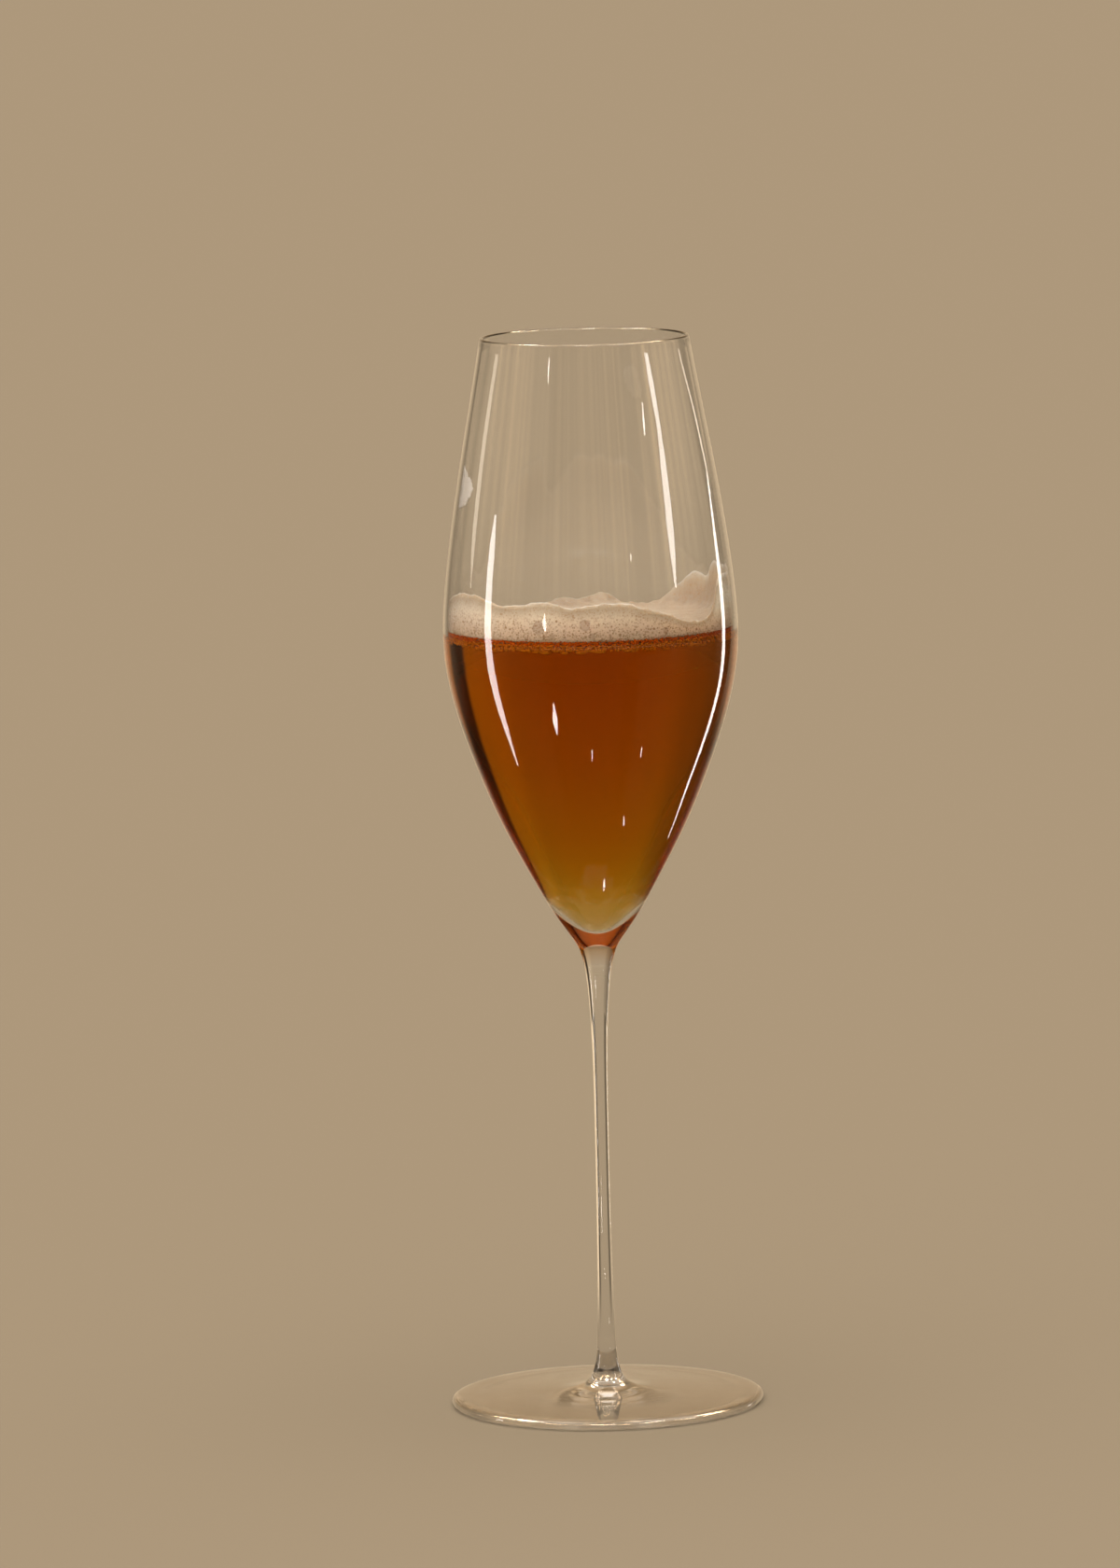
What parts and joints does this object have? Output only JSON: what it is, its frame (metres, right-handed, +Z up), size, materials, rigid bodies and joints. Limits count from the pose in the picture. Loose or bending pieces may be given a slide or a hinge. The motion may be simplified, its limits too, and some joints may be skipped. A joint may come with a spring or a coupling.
{
  "type": "glass of sparkling tea",
  "caption": "Tall thin-stemmed wine glass with a tulip bowl and a flat disc foot, half filled with amber sparkling tea under an uneven head of pale foam.",
  "frame": {"origin": "centre of the foot's resting plane", "axes": "+Z up the stem to the lip, -Y to the front that the picture shows, +X to its right"},
  "size_m": [0.0722, 0.0722, 0.248],
  "materials": {
    "clear_glass": "clear, smooth",
    "amber_tea": "clear amber liquid",
    "foam_cream": "fine wet foam",
    "foam_patch_cream": "thin drying foam"
  },
  "bodies": {
    "root": {"glass": "clear_glass", "tea": "amber_tea", "foam": "foam_cream", "foam_patch": "foam_patch_cream"}
  },
  "joints": []
}
